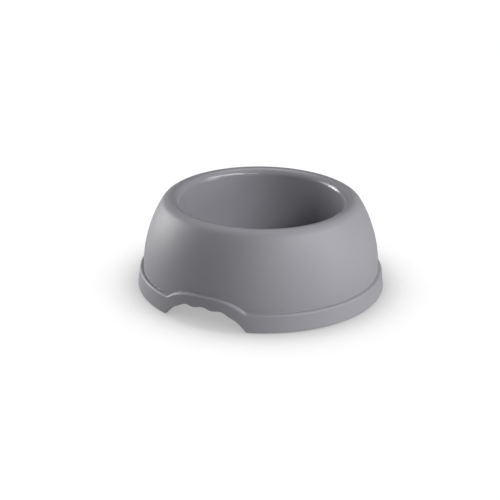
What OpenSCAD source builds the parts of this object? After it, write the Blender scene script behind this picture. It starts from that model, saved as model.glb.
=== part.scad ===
// Moulded plastic pet bowl with two finger arches, standing on four rubber feet.
// Origin on the floor under the middle of the bowl, +Z up, finger arches facing -Y and +Y.

/* [Bowl] */
// Outer diameter across the bottom of the foot band
base_d = 210; // [200:1:220]
// Height of the rim above the floor
height = 77; // [74:0.5:81]
// Wall thickness of the moulding
wall = 2.6; // [2:0.1:3]

/* [Rim] */
// Inner diameter of the mouth, just under the rounded inner edge
mouth_d = 138.2; // [134:0.2:138.8]
// Radius of the rounded inner edge of the rim
lip_round = 6.4; // [5:0.2:6.6]
// Diameter where the rim is highest and its outer shoulder begins
rim_d = 151.8; // [151.6:0.2:156]
// Radius of the outer shoulder of the rim
shoulder_round = 9.6; // [8:0.2:11]
// Steepness of the skirt where it meets the shoulder, in degrees from level
shoulder_slope = 55.8; // [50:0.2:62]

/* [Skirt and foot band] */
// Height of the foot band's ledge above the bottom edge
band_h = 15.1; // [13:0.1:17]
// How far the band leans inwards over its height
band_draft = 1.8; // [1:0.05:2.2]
// Radius of the band's rounded top edge
band_round = 2.5; // [1.5:0.1:2.8]
// Width of the ledge, from the outside of the band's top to the skirt
ledge_w = 3.2; // [3:0.1:4]
// Inward lean of the skirt where it leaves the ledge, in degrees
skirt_lean = -0.8; // [-2:0.2:4]
// Length of the lower handle of the skirt's curve
skirt_bulge_low = 27; // [22:0.2:30]
// Length of the upper handle of the skirt's curve
skirt_bulge_high = 9.2; // [6:0.2:14]

/* [Dish] */
// Height of the dish floor above the floor that the bowl stands on
dish_floor_z = 6.4; // [6:0.1:10]
// Inward lean of the dish wall, in degrees
dish_draft = 5; // [2:0.5:7]
// Radius between the dish wall and its floor
dish_round = 9; // [6:0.5:12]

/* [Finger arches] */
// Width of an arch at the bottom edge of the band
arch_w = 74; // [62:1:78]
// Height of an arch at its middle
arch_h = 15; // [13:0.25:16]
// How square the arch is: 2 is an ellipse-like curve, 4 nearly a box
arch_power = 3.3; // [2.4:0.05:3.8]
// Distance between the finger ripples along the top of an arch
ripple_pitch = 17; // [14:0.1:18]
// Height of the finger ripples
ripple_h = 0.75; // [0.3:0.05:1]
// Width of the raised band over an arch, at the level of the ledge
brow_w = 72.5; // [68:0.5:78]
// Height of the raised band above the ledge, at its middle
brow_h = 9.5; // [8:0.25:11]
// How square the raised band is
brow_power = 3.05; // [2.4:0.05:3.4]

/* [Rubber feet] */
// Diameter of a foot's pad
foot_d = 13; // [11:0.5:14]
// How far the pad stands below the moulding
foot_gap = 0.8; // [0.6:0.1:1.2]
// Thickness of the pad
foot_h = 3; // [2.5:0.1:4]
// Distance of a foot from the middle of the bowl
foot_place_r = 92.5; // [91:0.1:93]
// Diameter of the hole for the foot's stem
stem_hole_d = 5; // [4:0.1:6]
// Length of the foot's stem
stem_l = 7; // [5:0.5:9]

/* [Hidden] */

$fn = 96;
shell_grey = [0.47, 0.47, 0.50];
rubber_grey = [0.16, 0.16, 0.17];

base_r = base_d / 2;
bottom_z = foot_gap; // bottom edge of the moulding
ledge_z = bottom_z + band_h;
band_top_r = base_r - band_draft; // outside of the band, just under its rounded top
ledge_r = band_top_r - ledge_w; // where the skirt starts
rim_r = rim_d / 2;
mouth_r = mouth_d / 2;
stem_clearance = 0.05; // radial, between a foot's stem and its hole
pocket_wall = 1.6; // around a foot's pad
boss_r = foot_d / 2 + pocket_wall;
pad_clearance = 0.2; // radial, around the pad in its pocket
foot_angles = [-45, 45, 135, 225];
overlap = 0.5; // how far joined shapes run into each other
floor_rib_r = 34; // ring under the dish floor
floor_rib_w = 1.6;
floor_rib_h = 1.6;
gate_r = 2.4; // injection point in the middle of the floor's underside
gate_h = 0.7;
web_t = 1.8; // thickness of the webs beside each foot boss

// One coordinate of a cubic curve with end values a and d and handle values b and c
function cubic(t, a, b, c, d) =
    pow(1 - t, 3) * a + 3 * pow(1 - t, 2) * t * b + 3 * (1 - t) * t * t * c + t * t * t * d;

// Cubic curve through p0 and p3 with handles p1 and p2, in n steps
function curve(p0, p1, p2, p3, n) =
    [for (i = [0:n]) [for (k = [0, 1]) cubic(i / n, p0[k], p1[k], p2[k], p3[k])]];

// Arc about c with radius r, from angle a to angle b, in n steps
function arc(c, r, a, b, n) =
    [for (i = [0:n]) let (q = a + (b - a) * i / n) c + r * [cos(q), sin(q)]];

// Path moved sideways by d, towards its right hand
function beside(path, d) =
    [for (i = [0:len(path) - 1])
        let (before = path[max(i - 1, 0)], after = path[min(i + 1, len(path) - 1)])
        let (along = (after - before) / norm(after - before))
        path[i] + d * [along[1], -along[0]]];

function backwards(path) = [for (i = [len(path) - 1:-1:0]) path[i]];

// Outside of the skirt, from the ledge up to the start of the shoulder
shoulder_c = [rim_r, height - shoulder_round];
skirt_low = [ledge_r, ledge_z];
skirt_high = shoulder_c + shoulder_round * [sin(shoulder_slope), cos(shoulder_slope)];
skirt_path = curve(
    skirt_low,
    skirt_low + skirt_bulge_low * [-sin(skirt_lean), cos(skirt_lean)],
    skirt_high + skirt_bulge_high * [cos(shoulder_slope), -sin(shoulder_slope)],
    skirt_high, 16);

// Outside of the band, from its bottom edge to the ledge
band_path = concat(
    [[base_r, bottom_z]],
    arc([band_top_r - band_round, ledge_z - band_round], band_round, 0, 90, 5));

// Rim: outer shoulder, flat top and rounded inner edge
rim_path = concat(
    arc(shoulder_c, shoulder_round, 90 - shoulder_slope, 90, 6),
    arc([mouth_r + lip_round, height - lip_round], lip_round, 90, 180, 7));

// Inside of the dish: sloping wall, rounded corner and floor
dish_corner_z = dish_floor_z + dish_round;
wall_run = (height - lip_round - dish_corner_z) * tan(dish_draft);
dish_corner_r = mouth_r - wall_run - dish_round;
dish_path = concat(
    arc([dish_corner_r, dish_corner_z], dish_round, 0, -90, 7),
    [[0, dish_floor_z]]);

upper_path = concat(skirt_path, rim_path, dish_path);

// Underside of the moulding, one wall thickness behind the outside
skirt_under = beside(skirt_path, -wall);
rim_under = concat(
    arc(shoulder_c, shoulder_round - wall, 90 - shoulder_slope, 90, 4),
    arc([mouth_r + lip_round, height - lip_round], lip_round - wall, 90, 180, 4));
dish_under = concat(
    arc([dish_corner_r, dish_corner_z], dish_round + wall, 0, -90, 7),
    [[0, dish_floor_z - wall]]);
band_under = [
    [base_r - wall, bottom_z],
    [band_top_r - wall, ledge_z - 3 * wall],
    [ledge_r - wall, ledge_z - wall]];

// Cross-section of the moulding, from the middle of the dish to the bottom of the band
shell_section = concat(band_path, upper_path, backwards(concat(band_under, skirt_under, rim_under, dish_under)));

// Cross-section of the room under the moulding, overlapping its walls, that bosses and webs may fill
room_section = concat(
    [[base_r - wall / 2, bottom_z]],
    [[ledge_r - wall / 2, ledge_z - wall]],
    beside(skirt_path, -wall / 2),
    [[mouth_r + wall / 2, height - lip_round], [dish_corner_r + dish_round + wall / 2, bottom_z]]);

// Outer radius of the band at height z
function band_r(z) = base_r - band_draft * (z - bottom_z) / band_h;

// Height of the raised band's top at a distance x from the middle of the arch
function brow_z(x) = ledge_z + brow_h * (1 - pow(abs(x) / (brow_w / 2), brow_power));

// Finger ripples, fading out towards the ends of the arch
function ripple(x) = ripple_h * cos(360 * x / ripple_pitch) * max(0, 1 - pow(abs(x) / (arch_w * 0.4), 4));

// Height of the arch's opening at a distance x from its middle
function arch_z(x) = bottom_z + arch_h * (1 - pow(abs(x) / (arch_w / 2), arch_power)) + ripple(x);

brow_steps = 24;
brow_top = ledge_z + brow_h + 1;
brow_outline = concat(
    [for (i = [0:brow_steps]) let (x = brow_w * (i / brow_steps - 0.5)) [x, brow_z(x)]],
    [[brow_w / 2, ledge_z - band_h / 2], [-brow_w / 2, ledge_z - band_h / 2]]);
brow_hollow_w = brow_w - 2 * wall;
brow_hollow_outline = concat(
    [for (i = [0:brow_steps]) let (x = brow_hollow_w * (i / brow_steps - 0.5)) [x, brow_z(x) - wall]],
    [[brow_hollow_w / 2, -1], [-brow_hollow_w / 2, -1]]);

arch_steps = 60;
arch_outline = concat(
    [for (i = [0:arch_steps]) let (x = arch_w * (i / arch_steps - 0.5)) [x, arch_z(x)]],
    [[arch_w / 2, -1], [-arch_w / 2, -1]]);

// Outline in the XZ plane, carried along Y from the near edge y0 to y1
module across(outline, y0, y1) {
    translate([0, y1, 0])
        rotate([90, 0, 0])
            linear_extrude(height = y1 - y0)
                polygon(outline);
}

// Ring that follows the lean of the band, set in from its outside by d, from height z0 to z1
module band_ring(inner_r, d, z0, z1) {
    rotate_extrude()
        polygon([
            [inner_r, z0],
            [band_r(z0) - d, z0],
            [band_r(z1) - d, z1],
            [inner_r, z1]]);
}

// Band carried up over an arch: a tall ring, kept only inside the raised outline
module brow() {
    intersection() {
        band_ring(ledge_r - wall / 2, 0, ledge_z - band_h / 2, brow_top);
        across(brow_outline, -base_r, -base_r / 2);
    }
}

// Hollow behind the raised band, which leaves it one wall thick
module brow_hollow() {
    intersection() {
        band_ring(ledge_r - 2 * wall, wall, bottom_z - 1, brow_top);
        across(brow_hollow_outline, -base_r, -base_r / 2);
    }
}

// Opening of one arch
module arch() {
    across(arch_outline, -base_r - 5, -base_r * 0.75);
}

// Solid post for one foot, with webs that tie it to the band
module boss() {
    translate([foot_place_r, 0, bottom_z])
        cylinder(r = boss_r, h = height);
    translate([foot_place_r, -web_t / 2, bottom_z])
        cube([base_r, web_t, height]);
    translate([foot_place_r, -boss_r, bottom_z])
        cube([base_r, web_t, height]);
    translate([foot_place_r, boss_r - web_t, bottom_z])
        cube([base_r, web_t, height]);
}

// Pocket for a foot's pad and hole for its stem
module foot_hole() {
    translate([foot_place_r, 0, -1])
        cylinder(r = foot_d / 2 + pad_clearance, h = foot_h + 1);
    translate([foot_place_r, 0, 0])
        cylinder(d = stem_hole_d, h = foot_h + stem_l + 1);
}

module shell() {
    color(shell_grey)
    difference() {
        union() {
            rotate_extrude()
                polygon(shell_section);
            for (side = [0, 1])
                mirror([0, side, 0])
                    brow();
            intersection() {
                rotate_extrude()
                    polygon(room_section);
                for (a = foot_angles)
                    rotate([0, 0, a])
                        boss();
            }
            translate([0, 0, dish_floor_z - wall - gate_h])
                cylinder(r = gate_r, h = gate_h + overlap);
            translate([0, 0, dish_floor_z - wall - floor_rib_h])
                difference() {
                    cylinder(r = floor_rib_r, h = floor_rib_h + overlap);
                    translate([0, 0, -1])
                        cylinder(r = floor_rib_r - floor_rib_w, h = floor_rib_h + overlap + 2);
                }
        }
        for (side = [0, 1])
            mirror([0, side, 0]) {
                arch();
                brow_hollow();
            }
        for (a = foot_angles)
            rotate([0, 0, a])
                foot_hole();
    }
}

// Rubber foot: round pad with a stem that goes up into the boss
module foot(i) {
    color(rubber_grey)
    rotate([0, 0, foot_angles[i]])
        translate([foot_place_r, 0, 0]) {
            cylinder(d = foot_d, h = foot_h);
            cylinder(d = stem_hole_d - 2 * stem_clearance, h = foot_h + stem_l);
        }
}

shell();
foot(0);  // foot_1
foot(1);  // foot_2
foot(2);  // foot_3
foot(3);  // foot_4
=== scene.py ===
import math

import bpy
import numpy as np
from mathutils import Matrix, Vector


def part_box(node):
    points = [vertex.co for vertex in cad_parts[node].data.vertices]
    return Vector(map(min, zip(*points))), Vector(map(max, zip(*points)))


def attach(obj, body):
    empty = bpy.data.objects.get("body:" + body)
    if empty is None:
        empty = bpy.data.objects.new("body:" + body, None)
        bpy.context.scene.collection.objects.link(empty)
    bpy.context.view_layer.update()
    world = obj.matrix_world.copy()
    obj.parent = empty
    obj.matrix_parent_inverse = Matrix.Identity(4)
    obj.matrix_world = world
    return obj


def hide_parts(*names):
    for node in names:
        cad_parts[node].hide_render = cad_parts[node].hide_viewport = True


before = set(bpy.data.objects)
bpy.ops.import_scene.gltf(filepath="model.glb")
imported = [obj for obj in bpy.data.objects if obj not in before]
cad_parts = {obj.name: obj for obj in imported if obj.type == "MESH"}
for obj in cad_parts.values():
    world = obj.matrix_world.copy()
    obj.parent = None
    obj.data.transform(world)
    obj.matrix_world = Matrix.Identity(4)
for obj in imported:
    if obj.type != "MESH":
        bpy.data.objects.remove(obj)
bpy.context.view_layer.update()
print("frame loaded:", ", ".join(sorted(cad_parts)))

mm = 0.001  # every shape below is worked out in millimetres and put in its mesh in metres
shellLow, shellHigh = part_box("shell")
baseRadius = shellHigh.x / mm
rimTop = shellHigh.z / mm
bottomEdge = shellLow.z / mm
footNames = [name for name in sorted(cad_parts) if name.startswith("foot")]


# curves used by more than one piece

def arcPath(centreR, centreZ, radius, fromDeg, toDeg, steps):
    # centre + radius * (cos q, sin q), q in even steps; the centre may be one point or one point per column
    q = np.radians(np.linspace(fromDeg, toDeg, steps + 1))[:, None]
    return np.stack([centreR + radius * np.cos(q), centreZ + radius * np.sin(q)])


def linePath(fromR, fromZ, toR, toZ, places):
    # straight mix of the two ends, at the places given from 0 to 1
    k = np.asarray(places, float)[:, None]
    return np.stack([fromR + (toR - fromR) * k, fromZ + (toZ - fromZ) * k])


def cubicPoint(t, p):
    # cubic with end points p[0], p[3] and handles p[1], p[2]: (1-t)^3 a + 3(1-t)^2 t b + 3(1-t) t^2 c + t^3 d
    s = 1 - t
    return np.stack([s**3 * p[0][k] + 3 * s * s * t * p[1][k] + 3 * s * t * t * p[2][k] + t**3 * p[3][k]
                     for k in (0, 1)])


def cubicSide(t, p):
    # unit normal of the same cubic, on the right-hand side of its direction of travel, which is
    # 3(1-t)^2 (b-a) + 6(1-t) t (c-b) + 3t^2 (d-c)
    s = 1 - t
    legs = [(p[i + 1][0] - p[i][0], p[i + 1][1] - p[i][1]) for i in range(3)]
    dr, dz = (3 * s * s * legs[0][k] + 6 * s * t * legs[1][k] + 3 * t * t * legs[2][k] for k in (0, 1))
    return np.stack([dz, -dr]) / np.hypot(dr, dz)


def softMax(value, blend):
    # larger of value and 0, with the corner between them rounded: (v + sqrt(v^2 + blend^2)) / 2
    return (value + np.sqrt(value**2 + blend**2)) / 2


def joinPaths(parts, columns):
    # stacks (2, steps, 1 or columns) pieces of path into one (2, steps, columns) path
    return np.concatenate([np.broadcast_to(part, (2, part.shape[1], columns)) for part in parts], axis=1)


def revolve(path, angles, centre=(0.0, 0.0)):
    # (radius, height) rows carried round the Z axis through centre: x = r sin a, y = -r cos a
    return np.stack([centre[0] + path[0] * np.sin(angles), centre[1] - path[0] * np.cos(angles),
                     np.broadcast_to(path[1], path[0].shape)], axis=-1)


def closedMesh(name, rings, firstPole, lastPole):
    # rings (rows, columns, 3) joined to quads around the loop, and a fan to a single point at each end
    rows, columns = rings.shape[:2]
    points = np.concatenate([rings.reshape(-1, 3), [firstPole, lastPole]]) * mm
    here = np.arange(rows * columns).reshape(rows, columns)
    beside = np.roll(here, -1, axis=1)
    quads = np.stack([here[:-1], here[1:], beside[1:], beside[:-1]], axis=-1).reshape(-1, 4)
    fans = np.concatenate([
        np.stack([np.full(columns, rows * columns), here[0], beside[0]], axis=-1),
        np.stack([np.full(columns, rows * columns + 1), beside[-1], here[-1]], axis=-1)])
    return fillMesh(name, points, quads, fans)


def fillMesh(name, points, quads, fans):
    # signed volume (sum of a . (b x c) over the triangles) says which way the faces wind
    a, b, c = (points[quads[:, k]] for k in (0, 1, 2))
    d = points[quads[:, 3]]
    volume = (a * np.cross(b, c)).sum() + (a * np.cross(c, d)).sum()
    if volume < 0:
        quads, fans = quads[:, ::-1], fans[:, ::-1]
    mesh = bpy.data.meshes.new(name)
    mesh.vertices.add(len(points))
    mesh.vertices.foreach_set("co", points.astype(np.float32).ravel())
    corners = np.concatenate([quads.ravel(), fans.ravel()]).astype(np.int32)
    sizes = np.concatenate([np.full(len(quads), 4), np.full(len(fans), 3)]).astype(np.int32)
    mesh.loops.add(len(corners))
    mesh.loops.foreach_set("vertex_index", corners)
    mesh.polygons.add(len(sizes))
    mesh.polygons.foreach_set("loop_start", np.concatenate([[0], np.cumsum(sizes)[:-1]]).astype(np.int32))
    mesh.polygons.foreach_set("loop_total", sizes)
    mesh.polygons.foreach_set("use_smooth", np.ones(len(sizes), bool))
    mesh.update(calc_edges=True)
    mesh.validate()
    piece = bpy.data.objects.new(name, mesh)
    bpy.context.scene.collection.objects.link(piece)
    return piece


# the bowl itself: one moulding

bowl = {
    "wall": 2.6,
    "edgeRound": 0.6,        # rounding of the bottom edge, inside and out
    "bandHeight": 15.1,
    "bandDraft": 1.8,        # lean of the band over its height
    "bandRound": 2.3,        # rounded top edge of the band
    "ledgeWidth": 3.2,
    "ledgeFillet": 0.5,
    "skirtLean": -0.8,       # degrees
    "skirtBulgeLow": 27.0,
    "skirtBulgeHigh": 9.2,
    "shoulderSlope": 55.8,   # degrees
    "shoulderRound": 9.6,
    "rimFlat": 0.4,
    "lipRound": 6.4,
    "mouthRadius": 69.1,
    "dishDraft": 5.0,        # degrees
    "dishRound": 9.0,
    "dishFloor": 6.4,        # above the floor that the bowl stands on
    "archWidth": 74.0,
    "archHeight": 15.0,
    "archPower": 3.3,
    "archBlend": 0.7,        # rounding where the arch meets the bottom edge
    "ripplePitch": 17.0,
    "rippleHeight": 0.75,
    "rippleReach": 0.8,      # share of the arch's half width over which the ripples fade out
    "browWidth": 72.5,
    "browHeight": 9.5,
    "browPower": 3.05,
    "browBlend": 0.9,
    "floorRibRadius": 34.0,  # ring under the dish
    "floorRibWidth": 1.6,
    "floorRibHeight": 1.6,
    "floorRibRound": 0.4,
    "gateRadius": 2.4,       # injection point under the middle of the dish
    "gateHeight": 0.7,
    "gateRound": 0.3,
    "innerStep": 2.0,        # height in which the inside goes from the band to the skirt
    "hubRadius": 1.0,        # where the flat middle of the dish closes to a point
}
# how finely each stretch of the bowl is cut
bowlGrid = {
    "columns": 120,          # in each quarter turn, shared out over the angles below
    "columnShares": (0, 0.38, 0.68, 0.74, 1),
    "columnDegrees": (0, 17.5, 22.5, 25, 90),
    "dishCorner": 12,
    "lip": 14,
    "shoulder": 12,
    "skirt": 32,
    "bandTop": 9,
    "edge": 4,
    "underSkirt": 16,
    "underShoulder": 7,
    "underCorner": 9,
    "small": 3,
    "curveSamples": 400,     # points at which the skirt's curve is looked up
    "dish": (0, 0.2, 0.45, 0.7, 0.9, 0.985),
    "straight": (0.02, 0.2, 0.4, 0.6, 0.8, 0.98),
    "short": (0.05, 0.5, 0.95, 1.0),
}
ledgeHeight = bottomEdge + bowl["bandHeight"]
rimRadius = bowl["mouthRadius"] + bowl["lipRound"] + bowl["rimFlat"]
shoulderSlope = math.radians(bowl["shoulderSlope"])
shoulderZ = rimTop - bowl["shoulderRound"]
skirtLow = (baseRadius - bowl["bandDraft"] - bowl["ledgeWidth"], ledgeHeight)
skirtHigh = (rimRadius + bowl["shoulderRound"] * math.sin(shoulderSlope),
             shoulderZ + bowl["shoulderRound"] * math.cos(shoulderSlope))
skirtLean = math.radians(bowl["skirtLean"])
skirtCurve = [
    skirtLow,
    (skirtLow[0] - bowl["skirtBulgeLow"] * math.sin(skirtLean),
     skirtLow[1] + bowl["skirtBulgeLow"] * math.cos(skirtLean)),
    (skirtHigh[0] + bowl["skirtBulgeHigh"] * math.cos(shoulderSlope),
     skirtHigh[1] - bowl["skirtBulgeHigh"] * math.sin(shoulderSlope)),
    skirtHigh,
]


def bandRadius(z):
    # outside of the band: base radius less the draft in proportion to the height
    return baseRadius - bowl["bandDraft"] * (z - bottomEdge) / bowl["bandHeight"]


def archEdge(x):
    # bottom edge: soft maximum of 0 and height * (1 - |2x/width|^power) + fading cosine ripples
    u = np.abs(x) / (bowl["archWidth"] / 2)
    fade = np.clip(1 - (u / bowl["rippleReach"])**4, 0, 1)
    ripples = bowl["rippleHeight"] * np.cos(2 * np.pi * x / bowl["ripplePitch"]) * fade
    return bottomEdge + softMax(bowl["archHeight"] * (1 - u**bowl["archPower"]) + ripples, bowl["archBlend"])


def browEdge(x):
    # top of the band: soft maximum of 0 and height * (1 - |2x/width|^power), above the ledge
    u = np.abs(x) / (bowl["browWidth"] / 2)
    return ledgeHeight + softMax(bowl["browHeight"] * (1 - u**bowl["browPower"]), bowl["browBlend"])


def columnAngles():
    # angles round the bowl, close together over each arch, closest at the arch's ends: one quarter turn,
    # mirrored to a half and repeated
    places = np.linspace(0, 1, bowlGrid["columns"] + 1)[:-1]
    quarter = np.interp(places, bowlGrid["columnShares"], bowlGrid["columnDegrees"])
    half = np.concatenate([quarter, 180 - quarter[::-1]])
    around = np.concatenate([half, 180 + half])
    return np.radians(np.unique(np.round(around, 6) % 360))


def bowlProfile(angles):
    # one closed outline per angle: dish floor, dish wall, lip, shoulder, skirt, ledge, band, bottom edge,
    # and back along the underside at one wall thickness
    columns = len(angles)
    x = baseRadius * np.sin(angles)
    bottom = archEdge(x)
    top = browEdge(x)
    wall, edge, fillet = bowl["wall"], bowl["edgeRound"], bowl["ledgeFillet"]
    straight, short, small = bowlGrid["straight"], bowlGrid["short"], bowlGrid["small"]
    slope = 90 - bowl["shoulderSlope"]
    underSteps = bowlGrid["underShoulder"]

    cornerZ = bowl["dishFloor"] + bowl["dishRound"]
    lipZ = rimTop - bowl["lipRound"]
    lipR = bowl["mouthRadius"] + bowl["lipRound"]
    dishLowR = bowl["mouthRadius"] - (lipZ - cornerZ) * math.tan(math.radians(bowl["dishDraft"]))
    cornerR = dishLowR - bowl["dishRound"]

    # the skirt's curve is looked up by height, as far down as the fillet outside and the ledge inside
    tTable = np.linspace(0, 1, bowlGrid["curveSamples"])
    zTable = cubicPoint(tTable, skirtCurve)[1]
    tLow = np.interp(top + fillet, zTable, tTable)[None, :]
    tRows = 1 + (tLow - 1) * np.linspace(0, 1, bowlGrid["skirt"] + 1)[1:, None]
    skirtR = cubicPoint(tLow, skirtCurve)[0]
    tUnder = np.interp(top, zTable, tTable)[None, :]
    tUnderRows = tUnder + (1 - tUnder) * np.linspace(0, 1, bowlGrid["underSkirt"] + 1)[:, None]

    bandRound = bowl["bandRound"]
    bandTopR = bandRadius(top - bandRound)
    bandLowR = bandRadius(bottom + edge)
    innerZ = top - wall - bowl["innerStep"]
    under = bowl["dishFloor"] - wall
    ribOut, ribRound = bowl["floorRibRadius"], bowl["floorRibRound"]
    ribIn = ribOut - bowl["floorRibWidth"]
    ribLow = under - bowl["floorRibHeight"]
    gate, gateRound = bowl["gateRadius"], bowl["gateRound"]

    path = joinPaths([
        linePath(bowl["hubRadius"], bowl["dishFloor"], cornerR, bowl["dishFloor"], bowlGrid["dish"]),
        arcPath(cornerR, cornerZ, bowl["dishRound"], -90, 0, bowlGrid["dishCorner"]),
        linePath(dishLowR, cornerZ, bowl["mouthRadius"], lipZ, straight),
        arcPath(lipR, lipZ, bowl["lipRound"], 180, 90, bowlGrid["lip"]),
        arcPath(rimRadius, shoulderZ, bowl["shoulderRound"], 90, slope, bowlGrid["shoulder"]),
        cubicPoint(tRows, skirtCurve),
        arcPath(skirtR + fillet, top + fillet, fillet, 180, 270, bowlGrid["edge"])[:, 1:],
        linePath(skirtR + fillet, top, bandTopR - bandRound, top, [0.5]),
        arcPath(bandTopR - bandRound, top - bandRound, bandRound, 90, 0, bowlGrid["bandTop"]),
        linePath(bandTopR, top - bandRound, bandLowR, bottom + edge, straight),
        arcPath(bandLowR - edge, bottom + edge, edge, 0, -90, bowlGrid["edge"]),
        arcPath(bandLowR - wall + edge, bottom + edge, edge, -90, -180, bowlGrid["edge"]),
        linePath(bandLowR - wall, bottom + edge, bandRadius(innerZ) - wall, innerZ, short),
        cubicPoint(tUnderRows, skirtCurve) - wall * cubicSide(tUnderRows, skirtCurve),
        arcPath(rimRadius, shoulderZ, bowl["shoulderRound"] - wall, slope, 90, underSteps)[:, 1:],
        arcPath(lipR, lipZ, bowl["lipRound"] - wall, 90, 180, underSteps),
        linePath(bowl["mouthRadius"] + wall, lipZ, dishLowR + wall, cornerZ, straight),
        arcPath(cornerR, cornerZ, bowl["dishRound"] + wall, 0, -90, bowlGrid["underCorner"]),
        linePath(cornerR, under, ribOut + ribRound, under, [0.1, 0.9, 1.0]),
        arcPath(ribOut + ribRound, under - ribRound, ribRound, 90, 180, small),
        arcPath(ribOut - ribRound, ribLow + ribRound, ribRound, 0, -90, small),
        arcPath(ribIn + ribRound, ribLow + ribRound, ribRound, -90, -180, small),
        arcPath(ribIn - ribRound, under - ribRound, ribRound, 0, 90, small),
        linePath(ribIn - ribRound, under, gate + gateRound, under, short),
        arcPath(gate - gateRound, under - bowl["gateHeight"] + gateRound, gateRound, 0, -90, small),
    ], columns)
    return path, bowl["dishFloor"], under - bowl["gateHeight"]


def makeBowl():
    # the outline of each angle, carried round the bowl's axis and closed in the middle above and below
    angles = columnAngles()
    path, floorZ, underZ = bowlProfile(angles)
    piece = closedMesh("bowlShell", revolve(path, angles), (0, 0, floorZ), (0, 0, underZ))
    print("bowl shell:", path.shape[1], "rows by", len(angles), "columns,", len(piece.data.polygons), "faces")
    return piece


# posts under the bowl, one over each foot, with webs that tie them to the band

support = {
    "postRadius": 8.1,
    "pocketRadius": 6.7,     # room for the pad of the foot
    "pocketHeight": 3.0,
    "holeRadius": 2.5,       # room for the stem of the foot
    "holeHeight": 11.0,
    "edgeRound": 0.3,
    "webWidth": 1.6,
    "webSides": (-7.3, 0.0, 7.3),   # middle of each web, to the side of the post's middle
    "webStarts": (1.7, 7.4, 1.7),   # distance of its inner end from the post's middle
    "webReach": 102.8,              # radius of its outer end, inside the wall of the band
    "webLift": 0.4,
    "sharpAngle": 38.0,             # degrees; flatter corners are shaded smooth
    "columns": 64,
    "edgeSteps": 3,
    "sideRise": (0.1, 0.5, 0.9),    # rows up the side of a post, as shares of its height
    "roofRows": 13,                 # rows from there to the middle, under the bowl's wall
    "webRows": 14,
    "holeHub": 0.8,                 # where the top of the stem's hole closes to a point
    "roofHub": 0.6,                 # where the top of the post closes to a point
    "roofSamples": 200,
    "roofStep": 0.05,               # width over which the roof drops from the skirt to the ledge
}


def roofHeight(r):
    # height of the middle of the bowl's wall above a point at radius r, read off the skirt's curve
    t = np.linspace(1, 0, support["roofSamples"])
    middle = cubicPoint(t, skirtCurve) - bowl["wall"] / 2 * cubicSide(t, skirtCurve)
    ledgeMiddle = ledgeHeight - bowl["wall"] / 2
    radii = np.concatenate([np.maximum.accumulate(middle[0]), [middle[0].max() + support["roofStep"]]])
    heights = np.concatenate([middle[1], [ledgeMiddle]])
    return np.interp(r, radii, np.maximum(heights, ledgeMiddle))


def placeRound(out, aside, height, centre):
    # local (out, aside, height) around a foot's middle, out being away from the bowl's axis
    away = np.array(centre) / np.hypot(*centre)
    x = centre[0] + out * away[0] - aside * away[1]
    y = centre[1] + out * away[1] + aside * away[0]
    return np.stack([x, y, np.broadcast_to(height, x.shape)], axis=-1)


def makePost(name, centre):
    # rings of (radius, height) round the post's own axis; the upper ones climb to the roof above them
    edge, post, pocket = support["edgeRound"], support["postRadius"], support["pocketRadius"]
    hole, holeTop, pocketTop = support["holeRadius"], support["holeHeight"], support["pocketHeight"]
    columns, steps, sideRise = support["columns"], support["edgeSteps"], support["sideRise"]
    low = joinPaths([
        linePath(support["holeHub"], holeTop, hole, holeTop, [0, 0.9, 1]),
        linePath(hole, pocketTop, pocket, pocketTop, [0, 0.05, 0.95, 1]),
        arcPath(pocket + edge, bottomEdge + edge, edge, 180, 270, steps),
        arcPath(post - edge, bottomEdge + edge, edge, -90, 0, steps),
    ], columns)
    inwards = np.linspace(post, support["roofHub"], support["roofRows"])
    upperRadii = np.concatenate([np.full(len(sideRise), post), inwards])[:, None]
    rise = np.concatenate([sideRise, np.ones(len(inwards))])[:, None]
    angles = np.linspace(0, 2 * np.pi, columns + 1)[:-1]
    radii = np.concatenate([low[0], np.broadcast_to(upperRadii, (len(upperRadii), columns))])
    points = placeRound(radii * np.cos(angles), radii * np.sin(angles), 0.0, centre)
    roof = roofHeight(np.hypot(points[len(low[0]):, :, 0], points[len(low[0]):, :, 1]))
    points[:len(low[0]), :, 2] = low[1]
    points[len(low[0]):, :, 2] = low[1][-1] + (roof - low[1][-1]) * rise
    top = roofHeight(np.hypot(*centre))
    return closedMesh(name, points, (*centre, holeTop), (*centre, top))


def makeWeb(name, centre, aside, start):
    # one cross-section, carried outwards from the post to the band: flat sides, bevelled lower edges, and
    # the roof's height above
    half, edge, low = support["webWidth"] / 2, support["edgeRound"], bottomEdge + support["webLift"]
    across = aside + np.array([half, half, half - edge, edge - half, -half, -half])
    lift = np.array([0, edge, 0, 0, edge, 0]) + low
    reach = math.sqrt(support["webReach"]**2 - aside**2) - math.hypot(*centre)
    out = np.linspace(start, reach, support["webRows"])[:, None] * np.ones(len(across))
    points = placeRound(out, np.broadcast_to(across, out.shape), np.broadcast_to(lift, out.shape), centre)
    roof = roofHeight(np.hypot(points[:, :, 0], points[:, :, 1]))
    points[:, [0, 5], 2] = roof[:, [0, 5]]
    return closedMesh(name, points, points[0].mean(axis=0), points[-1].mean(axis=0))


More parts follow.
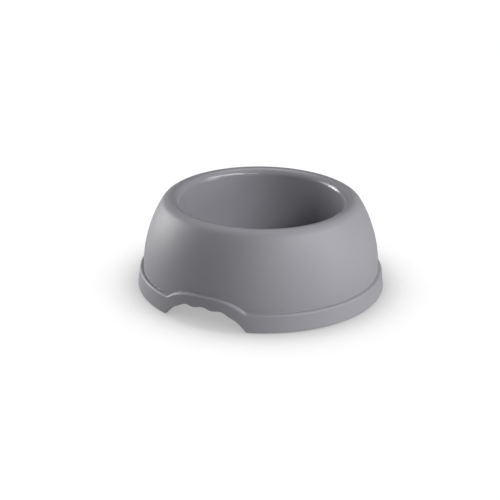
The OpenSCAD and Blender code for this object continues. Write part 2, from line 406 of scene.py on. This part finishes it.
def uniteUndersides(piece, parts):
    # true union, so the moulding stays one closed surface; then only real corners are shaded sharp
    group = bpy.data.collections.new("undersides")
    for part in parts:
        bpy.context.scene.collection.objects.unlink(part)
        group.objects.link(part)
    union = piece.modifiers.new("union", "BOOLEAN")
    union.operation = "UNION"
    union.solver = "MANIFOLD"
    union.operand_type = "COLLECTION"
    union.collection = group
    merged = bpy.data.meshes.new_from_object(piece.evaluated_get(bpy.context.evaluated_depsgraph_get()))
    piece.modifiers.clear()
    piece.data = merged
    merged.name = piece.name
    merged.materials.clear()
    merged.polygons.foreach_set("material_index", np.zeros(len(merged.polygons), np.int32))
    merged.polygons.foreach_set("use_smooth", np.ones(len(merged.polygons), bool))
    merged.set_sharp_from_angle(angle=math.radians(support["sharpAngle"]))
    for part in parts:
        bpy.data.objects.remove(part)
    bpy.data.collections.remove(group)
    print("bowl shell with", len(parts), "posts and webs:", len(merged.polygons), "faces")


def footCentre(name):
    # middle of the foot's box, in millimetres
    low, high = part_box(name)
    return (low.x + high.x) / 2 / mm, (low.y + high.y) / 2 / mm


# rubber feet: round pads with grip rings under them and a stem that goes up into the post

foot = {
    "padHeight": 3.0,
    "edgeRound": 0.7,
    "ringRadii": (2.2, 4.2),  # grooves between the grip rings
    "grooveWidth": 0.7,       # from the middle of a groove to its edge
    "grooveDepth": 0.35,
    "stemRadius": 2.45,
    "tipRound": 0.8,
    "padTopRound": 0.3,
    "hubRadius": 0.3,         # where the underside closes to a point
    "columns": 48,
    "grooveRows": 9,
    "edgeSteps": 6,
    "topSteps": 3,
    "tipSteps": 5,
}


def makeFoot(name):
    # outline of radius and height, carried round the foot's own axis
    low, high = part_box(name)
    centre = footCentre(name)
    radius, topZ = (high.x - low.x) / 2 / mm, high.z / mm
    edge, tip, padRound = foot["edgeRound"], foot["tipRound"], foot["padTopRound"]
    innerGroove, outerGroove = foot["ringRadii"]
    padTop, stem, half = foot["padHeight"], foot["stemRadius"], foot["grooveWidth"]
    # each groove is one cosine wave across: depth * (1 + cos(pi k)) / 2, k from -1 to 1
    k = np.linspace(-1, 1, foot["grooveRows"])[:, None]
    grooves = [np.stack([ringRadius + k * half, foot["grooveDepth"] * (1 + np.cos(np.pi * k)) / 2])
               for ringRadius in foot["ringRadii"]]
    path = joinPaths([
        linePath(foot["hubRadius"], 0, innerGroove - half, 0, [0, 0.9]),
        *grooves,
        linePath(outerGroove + half, 0, radius - edge, 0, [0.2, 0.9]),
        arcPath(radius - edge, edge, edge, -90, 0, foot["edgeSteps"]),
        arcPath(radius - padRound, padTop - padRound, padRound, 0, 90, foot["topSteps"]),
        linePath(radius - padRound, padTop, stem, padTop, [0.1, 0.95, 1.0]),
        arcPath(stem - tip, topZ - tip, tip, 0, 90, foot["tipSteps"]),
    ], foot["columns"])
    angles = np.linspace(0, 2 * np.pi, foot["columns"] + 1)[:-1]
    return closedMesh(name + "Rubber", revolve(path, angles, centre), (*centre, 0), (*centre, topZ))


# materials

def newNode(tree, kind, **values):
    node = tree.nodes.new(kind)
    for key, value in values.items():
        setattr(node, key, value)
    return node


def makeGroup(name, inputs, outputs):
    tree = bpy.data.node_groups.new(name, "ShaderNodeTree")
    for label, default in inputs:
        socket = tree.interface.new_socket(label, in_out="INPUT", socket_type="NodeSocketFloat")
        socket.default_value = default
    for label in outputs:
        tree.interface.new_socket(label, in_out="OUTPUT", socket_type="NodeSocketFloat")
    return tree, tree.nodes.new("NodeGroupInput"), tree.nodes.new("NodeGroupOutput")


def setInput(tree, socket, value):
    # a number or a colour is set on the socket, and another node's output is linked to it
    if isinstance(value, bpy.types.NodeSocket):
        tree.links.new(value, socket)
    else:
        socket.default_value = value


def linkMath(tree, operation, *values):
    node = newNode(tree, "ShaderNodeMath", operation=operation)
    for socket, value in zip(node.inputs, values):
        setInput(tree, socket, value)
    return node.outputs["Value"]


def remap(tree, value, low, high, toLow=0.0, toHigh=1.0):
    # straight line from low..high to toLow..toHigh, held at its ends
    node = newNode(tree, "ShaderNodeMapRange", clamp=True)
    for label, number in (("From Min", low), ("From Max", high), ("To Min", toLow), ("To Max", toHigh)):
        setInput(tree, node.inputs[label], number)
    tree.links.new(value, node.inputs["Value"])
    return node.outputs["Result"]


def noise(tree, coordinate, scale, detail, roughness):
    node = newNode(tree, "ShaderNodeTexNoise")
    tree.links.new(coordinate, node.inputs["Vector"])
    setInput(tree, node.inputs["Scale"], scale)
    node.inputs["Detail"].default_value = detail
    node.inputs["Roughness"].default_value = roughness
    return node.outputs["Fac"]


grain = {
    "fine": (3.0, 0.6),      # detail and roughness of the noise
    "cloud": (2.0, 0.45),
}


def makeGrainGroup():
    # fine spark-eroded mould texture, and the slow cloudy change of colour that flowing plastic leaves
    tree, given, result = makeGroup("mouldGrain", [("Grain Scale", 1800.0), ("Cloud Scale", 14.0)],
                                    ["Grain", "Cloud"])
    place = newNode(tree, "ShaderNodeTexCoord").outputs["Object"]
    fine = noise(tree, place, given.outputs["Grain Scale"], *grain["fine"])
    cloud = noise(tree, place, given.outputs["Cloud Scale"], *grain["cloud"])
    tree.links.new(fine, result.inputs["Grain"])
    tree.links.new(cloud, result.inputs["Cloud"])
    return tree


handling = {
    # each noise is its scale, detail and roughness, then the values it is cut between; scuffs are given a scale
    "patches": ((45.0, 3.0, 0.6), (0.42, 0.62)),
    "leastPatch": 0.25,
    "hairlinePlaces": ((22.0, 2.0, 0.5), (0.56, 0.70)),
    "scuffs": ((4.0, 0.65), (0.58, 0.74)),
    "hairlineBend": (9.0, 2.0, 0.6),  # distortion, detail and detail scale of the bands
    "hairlineFrom": 0.988,            # only the crests of the bands are kept
}


def makeWearGroup():
    # rubbed edges: pointiness above the flat value, broken up by noise; thin hairline scratches; dull scuffs
    inputs = [("Edge Start", 0.51), ("Edge End", 0.56), ("Scratch Scale", 60.0), ("Scuff Scale", 90.0)]
    tree, given, result = makeGroup("handling", inputs, ["Edges", "Scratches", "Scuffs"])
    place = newNode(tree, "ShaderNodeTexCoord").outputs["Object"]

    sharp = newNode(tree, "ShaderNodeNewGeometry").outputs["Pointiness"]
    edges = remap(tree, sharp, given.outputs["Edge Start"], given.outputs["Edge End"])
    shape, span = handling["patches"]
    patches = remap(tree, noise(tree, place, *shape), *span, handling["leastPatch"])
    tree.links.new(linkMath(tree, "MULTIPLY", edges, patches), result.inputs["Edges"])

    bands = newNode(tree, "ShaderNodeTexWave", wave_type="BANDS", bands_direction="DIAGONAL")
    tree.links.new(place, bands.inputs["Vector"])
    tree.links.new(given.outputs["Scratch Scale"], bands.inputs["Scale"])
    for label, value in zip(("Distortion", "Detail", "Detail Scale"), handling["hairlineBend"]):
        bands.inputs[label].default_value = value
    lines = remap(tree, bands.outputs["Fac"], handling["hairlineFrom"], 1.0)
    shape, span = handling["hairlinePlaces"]
    where = remap(tree, noise(tree, place, *shape), *span)
    tree.links.new(linkMath(tree, "MULTIPLY", lines, where), result.inputs["Scratches"])

    shape, span = handling["scuffs"]
    scuffs = remap(tree, noise(tree, place, given.outputs["Scuff Scale"], *shape), *span)
    tree.links.new(scuffs, result.inputs["Scuffs"])
    return tree


def startMaterial(name):
    material = bpy.data.materials.new(name)
    material.use_nodes = True
    return material, material.node_tree, material.node_tree.nodes["Principled BSDF"]


def placeGroup(tree, group, **values):
    node = newNode(tree, "ShaderNodeGroup", node_tree=group)
    for label, value in values.items():
        node.inputs[label.replace("_", " ")].default_value = value
    return node


def mixColour(tree, factor, first, second):
    # first where the factor is 0, second where it is 1
    node = newNode(tree, "ShaderNodeMix", data_type="RGBA")
    tree.links.new(factor, node.inputs["Factor"])
    for label, value in (("A", first), ("B", second)):
        socket = [s for s in node.inputs if s.name == label and s.type == "RGBA"][0]
        setInput(tree, socket, (*value, 1.0) if isinstance(value, tuple) else value)
    return [s for s in node.outputs if s.type == "RGBA"][0]


def axisDistance(tree):
    # distance from the bowl's upright axis: sqrt(x^2 + y^2)
    apart = newNode(tree, "ShaderNodeSeparateXYZ")
    tree.links.new(newNode(tree, "ShaderNodeTexCoord").outputs["Object"], apart.inputs["Vector"])
    squares = [linkMath(tree, "MULTIPLY", apart.outputs[k], apart.outputs[k]) for k in ("X", "Y")]
    return linkMath(tree, "SQRT", linkMath(tree, "ADD", *squares))


def mixShaders(tree, factor, first, second):
    node = newNode(tree, "ShaderNodeMixShader")
    for socket, value in zip(node.inputs, (factor, first, second)):
        tree.links.new(value, socket)
    return node.outputs["Shader"]


def bumpFrom(tree, bsdf, height, distance, strength):
    # distance is the depth in metres of a height of 1
    bump = newNode(tree, "ShaderNodeBump")
    bump.inputs["Distance"].default_value = distance
    bump.inputs["Strength"].default_value = strength
    tree.links.new(height, bump.inputs["Height"])
    tree.links.new(bump.outputs["Normal"], bsdf.inputs["Normal"])


plastic = {
    "grey": (0.300, 0.296, 0.322),
    "cloudGrey": (0.286, 0.283, 0.309),
    "rubbed": (0.345, 0.341, 0.366),
    "rubbedShare": 0.35,
    "cloudSpan": (0.3, 0.7),        # part of the cloud noise that is used
    "satin": (0.50, 0.58),          # roughness outside, where the mould is textured
    "polished": 0.42,               # share of that roughness left in the dish, where the mould is smooth
    "polishedRadius": (0.0755, 0.0790),  # metres from the axis where smooth turns to textured
    "edgeGloss": 0.25,
    "scuffRough": 0.05,
    "grainScale": 1900.0,
    "cloudScale": 13.0,
    "edgeSpan": (0.515, 0.58),      # pointiness at which an edge starts to be rubbed, and is fully rubbed
    "hairlineScale": 38.0,
    "scuffScale": 90.0,
    "hairlineDepth": 0.8,           # against the depth of the grain
    "grainDepth": 0.00002,
    "grainStrength": 0.5,
    "smoothGrain": 0.12,            # share of the grain left in the dish
    "ior": 1.49,
}


def makePlastic(grainGroup, wearGroup):
    # satin grey: cloudy colour, finer gloss in the dish, rubbed edges, hairlines in the grain
    material, tree, bsdf = startMaterial("greyPlastic")
    mould = placeGroup(tree, grainGroup, Grain_Scale=plastic["grainScale"], Cloud_Scale=plastic["cloudScale"])
    handled = placeGroup(tree, wearGroup, Edge_Start=plastic["edgeSpan"][0], Edge_End=plastic["edgeSpan"][1],
                         Scratch_Scale=plastic["hairlineScale"], Scuff_Scale=plastic["scuffScale"])

    cloud = remap(tree, mould.outputs["Cloud"], *plastic["cloudSpan"])
    body = mixColour(tree, cloud, plastic["grey"], plastic["cloudGrey"])
    rubbed = linkMath(tree, "MULTIPLY", handled.outputs["Edges"], plastic["rubbedShare"])
    tree.links.new(mixColour(tree, rubbed, body, plastic["rubbed"]), bsdf.inputs["Base Color"])

    # 0 in the smooth dish, 1 on the textured outside
    outside = remap(tree, axisDistance(tree), *plastic["polishedRadius"])
    rough = remap(tree, mould.outputs["Cloud"], *plastic["cloudSpan"], *plastic["satin"])
    rough = linkMath(tree, "MULTIPLY", rough, remap(tree, outside, 0.0, 1.0, plastic["polished"]))
    # handling shows in the gloss of the textured outside only
    worn = linkMath(tree, "MULTIPLY", handled.outputs["Edges"], plastic["edgeGloss"])
    rough = linkMath(tree, "SUBTRACT", rough, linkMath(tree, "MULTIPLY", worn, outside))
    dulled = linkMath(tree, "MULTIPLY", handled.outputs["Scuffs"], plastic["scuffRough"])
    rough = linkMath(tree, "ADD", rough, linkMath(tree, "MULTIPLY", dulled, outside))
    tree.links.new(rough, bsdf.inputs["Roughness"])

    scratched = linkMath(tree, "MULTIPLY", handled.outputs["Scratches"], plastic["hairlineDepth"])
    height = linkMath(tree, "SUBTRACT", mould.outputs["Grain"], scratched)
    height = linkMath(tree, "MULTIPLY", height, remap(tree, outside, 0.0, 1.0, plastic["smoothGrain"]))
    bumpFrom(tree, bsdf, height, plastic["grainDepth"], plastic["grainStrength"])
    bsdf.inputs["IOR"].default_value = plastic["ior"]
    return material


rubber = {
    "dark": (0.030, 0.030, 0.032),
    "dusty": (0.075, 0.073, 0.070),
    "dust": 0.6,                    # most dust on the scuffed parts
    "cloudSpan": (0.3, 0.7),
    "rough": (0.62, 0.82),
    "scuffScale": 90.0,
    "grainScale": 1400.0,
    "cloudScale": 160.0,
    "grainDepth": 0.00006,
    "grainStrength": 0.6,
    "ior": 1.5,
}


def makeRubber(grainGroup, wearGroup):
    # near black and matt, with dust where it is scuffed
    material, tree, bsdf = startMaterial("footRubber")
    mould = placeGroup(tree, grainGroup, Grain_Scale=rubber["grainScale"], Cloud_Scale=rubber["cloudScale"])
    handled = placeGroup(tree, wearGroup, Scuff_Scale=rubber["scuffScale"])
    dust = linkMath(tree, "MULTIPLY", handled.outputs["Scuffs"], rubber["dust"])
    tree.links.new(mixColour(tree, dust, rubber["dark"], rubber["dusty"]), bsdf.inputs["Base Color"])
    rough = remap(tree, mould.outputs["Cloud"], *rubber["cloudSpan"], *rubber["rough"])
    tree.links.new(rough, bsdf.inputs["Roughness"])
    bumpFrom(tree, bsdf, mould.outputs["Grain"], rubber["grainDepth"], rubber["grainStrength"])
    bsdf.inputs["IOR"].default_value = rubber["ior"]
    return material


grainGroup = makeGrainGroup()
wearGroup = makeWearGroup()
greyPlastic = makePlastic(grainGroup, wearGroup)
footRubber = makeRubber(grainGroup, wearGroup)
print("materials made:", greyPlastic.name, footRubber.name)

shellPiece = makeBowl()
undersideParts = []
for footName in footNames:
    undersideParts.append(makePost(footName + "Post", footCentre(footName)))
    for aside, start in zip(support["webSides"], support["webStarts"]):
        undersideParts.append(makeWeb(footName + "Web", footCentre(footName), aside, start))
uniteUndersides(shellPiece, undersideParts)
shellPiece.data.materials.append(greyPlastic)
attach(shellPiece, "root")
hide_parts("shell")

for footName in footNames:
    footPiece = makeFoot(footName)
    footPiece.data.materials.append(footRubber)
    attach(footPiece, "root")
    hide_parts(footName)
print("feet made:", len(footNames))


# floor, light and camera

studio = {
    "floorSize": 12.0,
    "floorGrey": 0.35,
    "floorRough": 0.9,
    "floorSpecular": 0.1,
    "floorGlow": 0.20,       # a light table's own glow, which keeps the lower parts from going dark
    "paintedShadowReach": 0.11,     # how far the painted shadow spreads
    "paintedShadowSamples": 24,
    # painted shadow on the floor: how open the floor is to the air above it, and how white it is painted there
    "paintedShadowStops": ((0.0, 0.38), (0.25, 0.47), (0.60, 0.57), (0.72, 0.68), (0.80, 0.86), (0.87, 0.985),
                    (0.92, 1.0)),
    # strength of the glowing white sheet that carries the painted shadow, and of the white seen past the floor
    "sheetWhite": 1.02,
    "worldGrey": 0.002,
    "lightTarget": 0.035,    # height over the floor that every light points at
    "lights": {
        # name: degrees round from the camera's side, degrees up, distance, width, height, watts
        "key": (45, 36, 1.5, 0.50, 0.40, 8.9),
        "side": (75, 36, 1.5, 0.50, 0.40, 6.5),
        "low": (75, 8, 1.5, 0.50, 0.40, 5.3),
        "strip": (20, 26, 1.5, 0.60, 0.08, 2.6),
        "backLeftLow": (-120, 8, 1.5, 0.50, 0.40, 11.8),
        "backLeft": (-105, 22, 1.5, 0.50, 0.40, 3.5),
        "backLeftFar": (-120, 22, 1.5, 0.50, 0.40, 3.5),
        "back": (180, 70, 1.5, 0.90, 0.90, 5.5),
    },
}
lens = {
    "azimuth": 26.62,        # degrees round from -Y, towards +X
    "elevation": 24.02,
    "distance": 1.05,
    "focal": 87.6,
    "sensor": 36.0,
    "turnLeft": 0.5196,      # degrees, from looking straight at the middle of the base
    "tiltUp": 1.3635,
    "roll": 0.8425,
}


def greyColour(value):
    return (value, value, value, 1)


def makeFloor():
    half = studio["floorSize"] / 2
    mesh = bpy.data.meshes.new("studioFloor")
    corners = [(-half, -half, 0), (half, -half, 0), (half, half, 0), (-half, half, 0)]
    mesh.from_pydata(corners, [], [(0, 1, 2, 3)])
    floor = bpy.data.objects.new("studioFloor", mesh)
    bpy.context.scene.collection.objects.link(floor)
    material, tree, bsdf = startMaterial("paleFloor")
    bsdf.inputs["Base Color"].default_value = greyColour(studio["floorGrey"])
    bsdf.inputs["Roughness"].default_value = studio["floorRough"]
    bsdf.inputs["Specular IOR Level"].default_value = studio["floorSpecular"]
    bsdf.inputs["Emission Color"].default_value = greyColour(1)
    bsdf.inputs["Emission Strength"].default_value = studio["floorGlow"]
    # what is looked at directly is a glowing white sheet with a soft painted shadow on it, darker where the
    # bowl closes the floor in
    near = newNode(tree, "ShaderNodeAmbientOcclusion", samples=studio["paintedShadowSamples"])
    near.inputs["Distance"].default_value = studio["paintedShadowReach"]
    paintedShadow = newNode(tree, "ShaderNodeValToRGB")
    paintedShadow.color_ramp.interpolation = "B_SPLINE"
    stops = paintedShadow.color_ramp.elements
    while len(stops) < len(studio["paintedShadowStops"]):
        stops.new(0.5)
    for stop, (openness, white) in zip(stops, studio["paintedShadowStops"]):
        stop.position = openness
        stop.color = greyColour(white)
    tree.links.new(near.outputs["AO"], paintedShadow.inputs["Fac"])
    # the painted shadow is given out as a glow of its own and is seen only by the camera; the bowl is lit by
    # the plain floor below
    paintedShadowSheet = newNode(tree, "ShaderNodeEmission")
    tree.links.new(paintedShadow.outputs["Color"], paintedShadowSheet.inputs["Color"])
    paintedShadowSheet.inputs["Strength"].default_value = studio["sheetWhite"]
    looked = mixShaders(tree, newNode(tree, "ShaderNodeLightPath").outputs["Is Camera Ray"],
                        bsdf.outputs["BSDF"], paintedShadowSheet.outputs["Emission"])
    # seen from below the floor is clear, so the underside of the bowl can be looked at
    clear = newNode(tree, "ShaderNodeBsdfTransparent")
    either = mixShaders(tree, newNode(tree, "ShaderNodeNewGeometry").outputs["Backfacing"], looked,
                        clear.outputs["BSDF"])
    tree.links.new(either, tree.nodes["Material Output"].inputs["Surface"])
    mesh.materials.append(material)
    print("floor made:", floor.name)


def makeWorld():
    # nearly dark to light the bowl, white where it is looked at past the end of the floor
    world = bpy.data.worlds.new("studioWorld")
    world.use_nodes = True
    bpy.context.scene.world = world
    tree = world.node_tree
    dim = tree.nodes["Background"]
    dim.inputs["Color"].default_value = greyColour(studio["worldGrey"])
    white = newNode(tree, "ShaderNodeBackground")
    white.inputs["Color"].default_value = greyColour(1)
    white.inputs["Strength"].default_value = studio["sheetWhite"]
    either = mixShaders(tree, newNode(tree, "ShaderNodeLightPath").outputs["Is Camera Ray"],
                        dim.outputs["Background"], white.outputs["Background"])
    tree.links.new(either, tree.nodes["World Output"].inputs["Surface"])


def direction(azimuth, elevation):
    # unit vector, degrees round from -Y towards +X and degrees up: (sin a cos e, -cos a cos e, sin e)
    a, e = math.radians(azimuth), math.radians(elevation)
    return np.array([math.sin(a) * math.cos(e), -math.cos(a) * math.cos(e), math.sin(e)])


def aimedMatrix(place, forward, upHint=(0, 0, 1)):
    # columns: right, up and back of something at place that looks along forward
    forward = forward / np.linalg.norm(forward)
    right = np.cross(forward, upHint)
    right /= np.linalg.norm(right)
    up = np.cross(right, forward)
    matrix = np.eye(4)
    matrix[:3] = np.stack([right, up, -forward, place], axis=1)
    return matrix


def makeLights():
    # soft rectangles in a ring round the bowl, their angles counted from the camera's side
    for name, (azimuth, elevation, distance, width, height, watts) in studio["lights"].items():
        data = bpy.data.lights.new(name, "AREA")
        data.shape = "RECTANGLE"
        data.size = width
        data.size_y = height
        data.energy = watts
        lamp = bpy.data.objects.new(name, data)
        bpy.context.scene.collection.objects.link(lamp)
        place = direction(lens["azimuth"] + azimuth, elevation) * distance
        lamp.matrix_world = aimedMatrix(place, np.array([0, 0, studio["lightTarget"]]) - place).T
    print("lights made:", len(studio["lights"]))


def makeCamera():
    # aimed at the middle of the base, then turned and rolled a little in its own frame
    data = bpy.data.cameras.new("camera")
    data.lens = lens["focal"]
    data.sensor_width = lens["sensor"]
    camera = bpy.data.objects.new("camera", data)
    bpy.context.scene.collection.objects.link(camera)
    base = np.array([0, 0, bottomEdge * mm])
    place = base + direction(lens["azimuth"], lens["elevation"]) * lens["distance"]
    aimed = aimedMatrix(place, base - place)
    for axis, degrees in (("Y", lens["turnLeft"]), ("X", lens["tiltUp"]), ("Z", lens["roll"])):
        aimed[:3, :3] = aimed[:3, :3] @ np.array(Matrix.Rotation(math.radians(degrees), 3, axis))
    camera.matrix_world = aimed.T
    bpy.context.scene.camera = camera
    print("camera placed:", np.round(place, 3))


makeFloor()
makeWorld()
makeLights()
makeCamera()
bpy.context.scene.view_settings.view_transform = "Standard"
